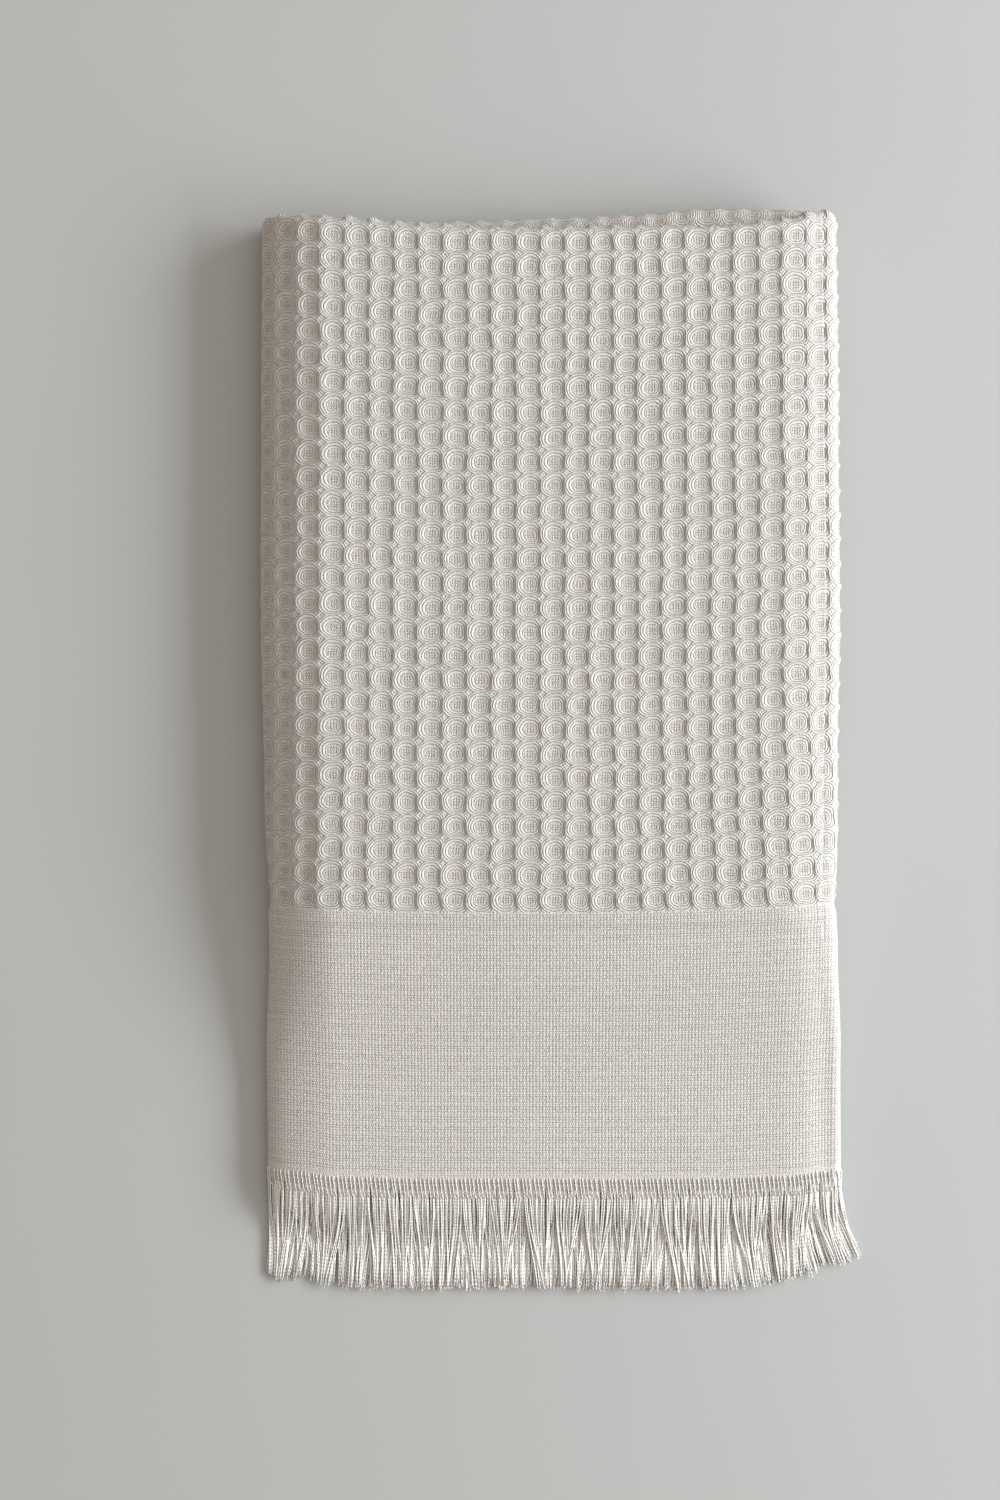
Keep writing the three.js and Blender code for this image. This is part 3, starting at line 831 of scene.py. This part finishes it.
def yarn_rods(paths, radii):
    """Points and faces of closed rods along many paths at once, and their weave coordinates: round
    each rod, and along it in centimetres. paths is (rods, points, 3), radii (rods, points)."""
    rods, count, _ = paths.shape
    forward = np.gradient(paths, axis=1)
    forward /= np.linalg.norm(forward, axis=-1, keepdims=True)
    sideways = np.cross(forward, (0.0, 0.0, 1.0))
    sideways /= np.linalg.norm(sideways, axis=-1, keepdims=True) + TINY
    above = np.cross(sideways, forward)
    corners = np.arange(YARN.sides)
    angle = ((corners + 0.5) * 2 * math.pi / YARN.sides)[:, None]
    ring = sideways[:, :, None, :] * np.cos(angle) + above[:, :, None, :] * np.sin(angle)
    points = paths[:, :, None, :] + ring * radii[:, :, None, None]
    shape = (rods, count, YARN.sides)
    index = np.arange(rods * count * YARN.sides).reshape(shape)
    turned = np.roll(index, -1, axis=2)
    quads = np.stack([index[:, :-1], index[:, 1:], turned[:, 1:], turned[:, :-1]], axis=-1)
    caps = np.concatenate([index[:, 0, :], index[:, -1, ::-1]])
    steps = np.linalg.norm(np.diff(paths, axis=1), axis=-1)
    run = np.concatenate([np.zeros((rods, 1)), np.cumsum(steps, axis=1)], axis=1) / CM
    around = np.broadcast_to(np.abs(corners * 2 / YARN.sides - 1), shape)
    along = np.broadcast_to(run[:, :, None], shape)
    return points.reshape(-1, 3), np.concatenate([quads.reshape(-1, 4), caps]), grid_weave(around, along)


class Shade:
    """A socket of a material. Sums, products and powers of it add Math nodes."""

    def __init__(self, finish, socket):
        self.finish = finish
        self.socket = socket

    def math(self, operation, *values):
        node = self.finish.node("ShaderNodeMath", {"operation": operation}, *values)
        return Shade(self.finish, node.outputs[0])

    def __add__(self, other):
        return self.math("ADD", self, other)

    def __radd__(self, other):
        return self.math("ADD", other, self)

    def __sub__(self, other):
        return self.math("SUBTRACT", self, other)

    def __rsub__(self, other):
        return self.math("SUBTRACT", other, self)

    def __mul__(self, other):
        return self.math("MULTIPLY", self, other)

    def __rmul__(self, other):
        return self.math("MULTIPLY", other, self)

    def __truediv__(self, other):
        return self.math("DIVIDE", self, other)

    def __abs__(self):
        return self.math("ABSOLUTE", self)

    def __pow__(self, other):
        return self.math("POWER", self, other)

    def sine(self):
        return self.math("SINE", self)

    def least(self, other):
        return self.math("MINIMUM", self, other)

    def most(self, other):
        return self.math("MAXIMUM", self, other)

    def off_whole(self):
        """Distance from the nearest whole number, 0 to 0.5."""
        return abs(self - self.math("ROUND", self))

    def step(self, low, high):
        """A soft step from 0 at low to 1 at high."""
        settings = {"interpolation_type": "SMOOTHSTEP"}
        return self.finish.out("ShaderNodeMapRange", settings, self, low, high, 0.0, 1.0)


class Finish:
    """A material and the nodes behind its surface."""

    def __init__(self, name, roughness, sheen):
        self.material = bpy.data.materials.new(name)
        self.material.use_nodes = True
        self.tree = self.material.node_tree
        self.tree.nodes.clear()
        self.surface = self.node("ShaderNodeBsdfPrincipled")
        self.surface.inputs["Roughness"].default_value = roughness
        self.surface.inputs["Sheen Weight"].default_value = sheen
        self.surface.inputs["Sheen Roughness"].default_value = SHEEN_ROUGHNESS
        self.surface.inputs["Specular IOR Level"].default_value = SPECULAR
        output = self.node("ShaderNodeOutputMaterial")
        self.tree.links.new(self.surface.outputs[0], output.inputs["Surface"])

    def node(self, kind, settings=None, *values, **named):
        """A node with its settings, then the values or links of its sockets."""
        node = self.tree.nodes.new(kind)
        for key, setting in (settings or {}).items():
            setattr(node, key, setting)
        for key, value in {**dict(enumerate(values)), **named}.items():
            socket = node.inputs[key]
            if isinstance(value, Shade):
                self.tree.links.new(value.socket, socket)
            else:
                socket.default_value = value
        return node

    def out(self, kind, settings=None, *values, output=0, **named):
        """The output of a new node."""
        return Shade(self, self.node(kind, settings, *values, **named).outputs[output])

    def weave(self):
        """Weave coordinates: across and along the cloth, or round and along a yarn."""
        place = self.out("ShaderNodeUVMap", {"uv_map": "Weave"})
        parts = self.node("ShaderNodeSeparateXYZ", None, place)
        return Shade(self, parts.outputs[0]), Shade(self, parts.outputs[1])

    def noise(self, scale, detail, stretch=(1, 1, 1)):
        """Soft noise from 0 to 1 over the object, scale in turns to a metre."""
        place = self.out("ShaderNodeTexCoord", output="Object")
        place = self.out("ShaderNodeVectorMath", {"operation": "MULTIPLY"}, place, stretch)
        return self.out("ShaderNodeTexNoise", None, place, Scale=scale, Detail=detail)

    def blend(self, share, low, high, how="MIX"):
        """Between two colours."""
        node = self.node("ShaderNodeMix", {"data_type": "RGBA", "blend_type": how})
        for index, value in zip(MIX_INPUTS, (share, low, high)):
            if isinstance(value, Shade):
                self.tree.links.new(value.socket, node.inputs[index])
            else:
                plain = isinstance(value, float)
                node.inputs[index].default_value = value if plain else (*value, 1)
        return Shade(self, node.outputs[MIX_OUTPUT])

    def colour(self, base, shade):
        """The surface's colour, darkened by shade."""
        value = self.blend(1.0, base, shade, "MULTIPLY")
        self.tree.links.new(value.socket, self.surface.inputs["Base Color"])

    def relief(self, height, distance):
        """A bump, with its height in metres at 1."""
        bump = self.out("ShaderNodeBump", None, Height=height, Distance=distance, Strength=1.0)
        self.tree.links.new(bump.socket, self.surface.inputs["Normal"])


def yarn_profile(across):
    """Rounded height of yarns one unit apart, 1 on a yarn's middle and 0 between two."""
    return 1 - (across.off_whole() * 2) ** 2


def plain_weave(across, along):
    """Height of a plain weave, with one yarn to a unit both ways."""
    turn = (across * math.pi).sine() * (along * math.pi).sine()
    warp = yarn_profile(across + 0.5) * turn.step(-0.5, 0.5)
    weft = yarn_profile(along + 0.5) * (turn * -1).step(-0.5, 0.5)
    return warp.most(weft)


def cotton_cloth(colours, w):
    """Waffle cloth with its floats and pits, and the plain band past its end rows."""
    look = CLOTH_LOOK
    finish = Finish(CLOTH_NAME, look.roughness, look.sheen)
    a, b = finish.weave()
    inside = b.least(w.rows - b)
    from_middle = off_middle(a.off_whole(), b.off_whole(), w.roundness)
    uneven = finish.noise(*look.wander) * look.wander_reach - look.wander_reach / 2
    floats = yarn_profile((from_middle + uneven) * w.yarns)
    pit = 1 - from_middle.step(*look.pit_edge)
    in_pit = uneven * look.pit_wander
    pit_weave = plain_weave((a + in_pit) * w.yarns, (b + in_pit) * w.yarns)
    waffle = floats + (pit_weave - floats) * pit
    in_waffle = inside.step(*look.waffle_edge)
    band = band_weave(a, b, inside * -1, w)
    height = band + (waffle - band) * in_waffle
    finish.relief(height + finish.noise(*look.fuzz), look.relief)
    # Painted shade: the pits take a darker colour where the cups lie in shade.
    shaded_pit_colour = [c * k for c, k in zip(colours.waffle, look.pit_tint)]
    base = finish.blend(in_waffle, colours.band, finish.blend(pit, colours.waffle, shaded_pit_colour))
    shade = finish.noise(*look.slubs) * look.slub_share + finish.noise(*look.blotches) * look.blotch_share
    specks = finish.noise(*look.specks).step(*look.speck_edge)
    # The weave's height adds painted shade: hollows between yarns and ribs are darker.
    shade = shade + height * look.height_share + specks * look.speck_share + look.darkest
    finish.colour(base, shade.least(look.lightest))
    return finish.material


def band_weave(a, b, past, w):
    """Height of the band: a plain weave with a rib at every fourth weft and a small one at every
    second, and a smooth line by the hem. past is rows past the waffle."""
    look = BAND_LOOK
    x = a * (w.cell_across / look.warp)
    y = b * (w.cell_along / look.weft)
    weave = plain_weave(x, y)
    ribs = [yarn_profile(y / every) * high for every, high in (look.rib, look.small_rib)]
    woven = weave * look.weave + (ribs[0] + ribs[1])
    start, end = look.hem_line
    in_line = past.step(start, start + look.hem_line_fade) * past.step(end + look.hem_line_fade, end)
    line = look.hem_line_height + weave * look.hem_line_weave
    return woven + (line - woven) * in_line


def cotton_yarn(colours):
    """Loose twisted yarn."""
    look = YARN_LOOK
    finish = Finish(YARN_NAME, look.roughness, look.sheen)
    around, along = finish.weave()
    twist = yarn_profile(around + along * look.turns)
    finish.relief(twist + finish.noise(*look.fuzz), look.relief)
    # The twist adds painted shade: the yarn is darker in the grooves between its turns.
    shade = twist * look.twist_share + finish.noise(*look.blotches) * look.blotch_share + look.darkest
    finish.colour(colours.yarn, shade)
    return finish.material


def pale_floor(colours):
    """A matt painted surface with very slight mottling."""
    look = FLOOR_LOOK
    finish = Finish("pale matt floor", look.roughness, 0.0)
    shade = finish.noise(*look.blotches) * look.blotch_share + finish.noise(*look.grain) * look.grain_share
    finish.colour(colours.floor, shade + look.darkest)
    return finish.material


def as_colours(scene):
    """The colours as plain tuples."""
    group = scene.towel_colours
    return SimpleNamespace(**{name: tuple(getattr(group, name)) for name in group.__annotations__})


def cloth_material(scene, fold):
    """The cloth's material, made once."""
    return bpy.data.materials.get(CLOTH_NAME) or cotton_cloth(as_colours(scene), fold.w)


def yarn_material(scene):
    """The yarns' material, made once."""
    return bpy.data.materials.get(YARN_NAME) or cotton_yarn(as_colours(scene))


class TOWEL_OT_stage(bpy.types.Operator):
    """Makes the floor, the camera and the light"""

    bl_idname = "towel.stage"
    bl_label = "Stage"

    def execute(self, context):
        studio = context.scene.towel_studio
        bpy.ops.mesh.primitive_plane_add(size=FLOOR_LOOK.size, location=(0, 0, 0))
        floor = context.object
        floor.name = "floor"
        floor.data.materials.append(pale_floor(as_colours(context.scene)))
        self.add_camera(context, studio)
        key = ("key_rise", "key_distance", "key_width", "key_height", "key_watts")
        broad = ("fill_rise", "fill_distance", "fill_size", "fill_size", "fill_watts")
        for name, words in (("key light", key), ("broad light", broad)):
            self.add_light(context, studio, name, *(getattr(studio, word) for word in words))
        world = bpy.data.worlds.new("soft room")
        world.use_nodes = True
        background = world.node_tree.nodes["Background"]
        background.inputs["Color"].default_value = (*studio.room_colour, 1)
        background.inputs["Strength"].default_value = studio.sky
        context.scene.world = world
        context.scene.view_settings.view_transform = "Standard"
        return {"FINISHED"}

    def add_camera(self, context, studio):
        """A camera that looks straight down."""
        data = bpy.data.cameras.new("camera")
        camera = bpy.data.objects.new("camera", data)
        context.scene.collection.objects.link(camera)
        camera.location = (studio.camera_x, studio.camera_y, studio.camera_height)
        to_face = studio.camera_height - CLOTH_HIGH[2]
        data.sensor_fit = "VERTICAL"
        data.sensor_height = SENSOR
        data.lens = SENSOR * to_face / studio.view_length
        data.clip_start = NEAREST
        context.scene.camera = camera

    def add_light(self, context, studio, name, elevation, distance, width, height, power):
        """An area light that looks at the towel's middle."""
        data = bpy.data.lights.new(name, "AREA")
        data.shape = "RECTANGLE"
        data.size = width
        data.size_y = height
        data.energy = power
        data.color = studio.key_colour
        light = bpy.data.objects.new(name, data)
        context.scene.collection.objects.link(light)
        level, up, turn = math.cos(elevation), math.sin(elevation), studio.key_turn
        place = Vector((level * math.cos(turn), level * math.sin(turn), up)) * distance
        light.location = place
        light.rotation_euler = (-place).to_track_quat("-Z", "Y").to_euler()


class TOWEL_OT_show_face(bpy.types.Operator):
    """Makes the show face of the top third, with its waffle, its rolled sides and its plain band"""

    bl_idname = "towel.show_face"
    bl_label = "Show face"

    def execute(self, context):
        fold = Fold(context.scene)
        finish = cloth_material(context.scene, fold)
        rows = grid_lines((-fold.BAND_ROWS, -1, BAND_DETAIL), (-1, FACE_TOP, fold.w.detail))
        for name, low, high in (("waffle_face_left", FACE_LEFT, 0), ("waffle_face_right", 0, FACE_RIGHT)):
            piece = add_mesh(name, *cloth_grid(fold, face_columns(low, high), rows), finish)
            dress(piece, "towel_cloth")
        return {"FINISHED"}


class TOWEL_OT_hidden_faces(bpy.types.Operator):
    """Makes the show face of the thirds below and of the inner leaf"""

    bl_idname = "towel.hidden_faces"
    bl_label = "Faces below"

    def execute(self, context):
        fold = Fold(context.scene)
        half, detail = fold.w.half_cells, fold.w.hidden_detail
        finish = cloth_material(context.scene, fold)
        rows = grid_lines((-fold.BAND_ROWS, -1, HIDDEN_BAND_DETAIL), (-1, FACE_TOP, detail))
        past, end = fold.w.rows + 1, fold.w.rows + fold.BAND_ROWS
        inner_rows = grid_lines((FACE_TOP, past, INNER_DETAIL), (past, end, HIDDEN_BAND_DETAIL))
        sides = ((-half, FACE_LEFT, detail), (FACE_RIGHT, half, detail))
        under = joined([cloth_grid(fold, cells(*side), rows) for side in sides])
        inner = cloth_grid(fold, cells(-half, half, INNER_DETAIL), inner_rows)
        for name, grid in (("waffle_under", under), ("waffle_inner_leaf", inner)):
            dress(add_mesh(name, *grid, finish), "towel_cloth")
        return {"FINISHED"}


class TOWEL_OT_ground(bpy.types.Operator):
    """Makes the ground cloth: the whole sheet, closed, which the waffle stands on"""

    bl_idname = "towel.ground"
    bl_label = "Ground cloth"

    def execute(self, context):
        fold = Fold(context.scene)
        a, b = np.meshgrid(*self.lines(fold))
        face = fold.skin(a, b, ground_depth(fold.w, a, b)).reshape(-1, 3)
        back = fold.skin(a, b, through=1.0).reshape(-1, 3)
        quads, rim = grid_faces(*a.shape), grid_rim(*a.shape)
        after = np.roll(rim, -1)
        edge = np.stack([after, rim, rim + len(face), after + len(face)], axis=-1)
        points = np.concatenate([face, back])
        faces = np.concatenate([quads, quads[:, ::-1] + len(face), edge])
        weave = np.concatenate([grid_weave(a, b)] * 2)
        finish = cloth_material(context.scene, fold)
        ground = add_mesh("towel_ground", points, faces, weave, finish)
        dress(ground, "towel_cloth")
        return {"FINISHED"}

    def lines(self, fold):
        """Grid lines of the whole cloth, closer where it rolls or folds and where the waffle ends."""
        half, end, band = fold.w.half_cells, fold.w.rows, fold.BAND_ROWS
        columns = grid_lines(
            (-half, LEFT_ROLL[0], FLAT_DETAIL),
            LEFT_ROLL,
            (LEFT_ROLL[1], RIGHT_BEND[0], FLAT_DETAIL),
            RIGHT_BEND,
            (RIGHT_BEND[1], half, FLAT_DETAIL),
        )
        rows = grid_lines(
            (-band, -WAFFLE_EDGE, HIDDEN_BAND_DETAIL),
            (-WAFFLE_EDGE, 0, WAFFLE_EDGE_DETAIL),
            (0, TOP_FOLD[0], FLAT_DETAIL),
            TOP_FOLD,
            (TOP_FOLD[1], end, FLAT_DETAIL),
            (end, end + WAFFLE_EDGE, WAFFLE_EDGE_DETAIL),
            (end + WAFFLE_EDGE, end + band, HIDDEN_BAND_DETAIL),
        )
        return columns, rows


class TOWEL_OT_hem(bpy.types.Operator):
    """Makes the overcast stitches along both hems"""

    bl_idname = "towel.hem"
    bl_label = "Hem stitches"

    def execute(self, context):
        fold = Fold(context.scene)
        w, s = fold.w, STITCH
        reach = w.half_cells - s.margin
        a = np.arange(-reach, reach, s.pitch / w.cell_across)[:, None]
        jitter = np.random.default_rng(s.seed).uniform(-1, 1, (2, len(a)))
        hem = fold.ends_at(a)[1]
        share = np.linspace(0, 1, s.points)[None, :]
        lift = s.rise * (1 - s.drop * share) + s.bow * np.sin(share * math.pi)
        lift[:, 0] -= s.head_dip
        lift[:, -1] -= s.tail_dip
        parts = []
        for side, uneven in zip((1, -1), jitter[:, :, None]):
            place = a + s.slant / w.cell_across * (share - 0.5) + s.sway * uneven
            y = hem + s.up - (s.up + s.down + s.uneven * uneven) * share
            paths = fold.leaf_point(place, y, side, lift)
            paths[..., 2] = np.maximum(paths[..., 2], s.radius)
            parts.append(yarn_rods(paths, np.full(paths.shape[:2], s.radius)))
        piece = add_mesh("hem_stitches", *joined(parts), yarn_material(context.scene))
        dress(piece, "towel_cloth")
        return {"FINISHED"}


class TOWEL_OT_fringe(bpy.types.Operator):
    """Makes the cut fringe of both leaves, yarn by yarn, gathered into loose clumps"""

    bl_idname = "towel.fringe"
    bl_label = "Fringe"

    def execute(self, context):
        fold = Fold(context.scene)
        g = in_millimetres(context.scene.towel_fringe)
        rng = np.random.default_rng(g.seed)
        finish = yarn_material(context.scene)
        for side, name in ((1, "fringe_outer"), (-1, "fringe_inner")):
            piece = add_mesh(name + "_yarns", *yarn_rods(*self.yarns(fold, g, side, rng)), finish)
            dress(piece, name + "_end")
        return {"FINISHED"}

    def yarns(self, fold, g, side, rng):
        """Paths and radii of the yarns that leave one leaf's hem: pairs that gather into clumps, thin
        loose yarns beside them, and stubs that close the gaps at the hem."""
        s = YARN
        a, clump, loose, stub = self.starts(fold.w, g, rng)
        yarns, clumps = len(a), clump.max() + 1
        root_y = fold.ends_at(a)[1] + s.root_in
        root = fold.leaf_point(a, root_y, side, np.where(loose, s.loose_lift, s.pair_lift))
        x, root_z = root[:, 0], root[:, 2:3]
        centre = np.array([x[clump == k].mean() for k in range(clumps)])[clump]
        gather = rng.uniform(*s.gather, clumps)[clump] * np.where(loose, s.loose_gather, 1)
        drift = rng.normal(0, s.drift, clumps)[clump] * np.where(loose, s.loose_drift, 1)
        own = rng.normal(0, s.own, yarns)
        sway = rng.normal(0, s.sway, yarns)
        cut = g.spread * np.abs(rng.normal(0, s.cut, yarns)).clip(0, s.cut_most)
        cut = cut + np.where(loose, s.loose_short, 0)
        tip = read_table(END_COLUMNS, "x", "tip", x) + cut + rng.uniform(*s.clump_cut, clumps)[clump]
        lean = read_table(END_COLUMNS, "x", "lean", x)
        reach = np.where(stub, rng.uniform(*s.stub_reach, yarns), 1)[:, None]
        share = np.linspace(0, 1, s.points)[None, :] * reach

        pull = smooth(share / s.pull_end) ** s.pull_power * gather[:, None] * (centre - x)[:, None]
        path_x = x[:, None] + lean[:, None] * share**2 + pull + drift[:, None] * share**s.drift_power
        wave = np.sin(share * math.pi * s.sway_turns)
        path_x = path_x + own[:, None] * share**s.own_power + sway[:, None] * wave
        path_y = mix(root_y[:, None], tip[:, None], share)
        pile = np.where(loose, 0.0, s.pile * rng.uniform(0, 1, yarns))[:, None]
        rest = self.rest_height(fold, g, a, path_x, side) + pile * smooth(share * s.pile_rate)
        path_z = mix(root_z, np.minimum(rest, root_z), rise(share, *s.fall))
        paths = np.stack([path_x, path_y, np.maximum(path_z, g.yarn_radius)], axis=-1)

        taper = np.interp(share, (0, s.taper, 1), (1, 1, s.tip_size))
        size = np.where(loose & ~stub, s.loose_size, 1) * rng.uniform(*s.sizes, yarns)
        return paths, g.yarn_radius * taper * size[:, None]

    def starts(self, w, g, rng):
        """Each yarn's column, its clump, and whether it is loose or a stub."""
        reach, most = w.half_cells - YARN.margin, w.half_cells - YARN.least_margin
        pairs = np.arange(-reach, reach, g.pair_pitch / w.cell_across)
        sizes = rng.integers(*YARN.clump, len(pairs))
        clump = np.repeat(np.arange(len(pairs)), sizes)[: len(pairs)]
        count = len(YARN_GROUP)
        columns = [[yarn[key] for yarn in YARN_GROUP] for key in ("at", "loose", "stub")]
        at, loose, stub = (np.tile(column, len(pairs)) for column in columns)
        a = np.repeat(pairs, count) + at * YARN.gap / w.cell_across
        return np.clip(a, -most, most), np.repeat(clump, count), loose, stub

    def rest_height(self, fold, g, a, x, side):
        """Where yarns come to rest: on the floor, or on the yarns of the thirds below."""
        left, right = fold.sides(END_COLUMNS[0]["hem"])
        from_left, from_right = x - left, right - x
        over_bottom = np.minimum(
            rise(from_left, REST.bottom_left, g.fade),
            rise(from_right, REST.bottom_right, g.fade),
        )
        over_middle = rise(from_left, REST.middle_left, g.fade)
        from_middle = rise(a, *REST.right_bend)[:, None]
        from_bottom = rise(-a, *REST.left_turn)[:, None]
        layers = mix(over_bottom + over_middle, over_bottom, from_middle) * (1 - from_bottom)
        facing_up = side * np.where((from_middle + from_bottom) > 0.5, -1, 1)
        return layers * g.layer + g.yarn_radius + REST.outer_lift * (facing_up > 0)


OPERATORS = (
    TOWEL_OT_stage,
    TOWEL_OT_show_face,
    TOWEL_OT_hidden_faces,
    TOWEL_OT_hem,
    TOWEL_OT_fringe,
    TOWEL_OT_ground,
)


class TOWEL_PT_panel(bpy.types.Panel):
    """Lists the towel's pieces and sizes"""

    bl_idname = "TOWEL_PT_panel"
    bl_label = "Folded face towel"
    bl_space_type = "VIEW_3D"
    bl_region_type = "UI"
    bl_category = "Towel"

    def draw(self, context):
        for operator in OPERATORS:
            self.layout.operator(operator.bl_idname)
        for name, kind in GROUPS.items():
            box = self.layout.box()
            box.label(text=kind.__doc__)
            for key in kind.__annotations__:
                box.prop(getattr(context.scene, name), key)


CLASSES = (*GROUPS.values(), *OPERATORS, TOWEL_PT_panel)


def register():
    for kind in CLASSES:
        bpy.utils.register_class(kind)
    for name, kind in GROUPS.items():
        setattr(bpy.types.Scene, name, PointerProperty(type=kind))


def unregister():
    for name in GROUPS:
        delattr(bpy.types.Scene, name)
    for kind in reversed(CLASSES):
        bpy.utils.unregister_class(kind)


def main():
    """Builds the towel piece by piece."""
    register()
    for operator in OPERATORS:
        group, name = operator.bl_idname.split(".")
        getattr(getattr(bpy.ops, group), name)()


if __name__ == "__main__":
    main()
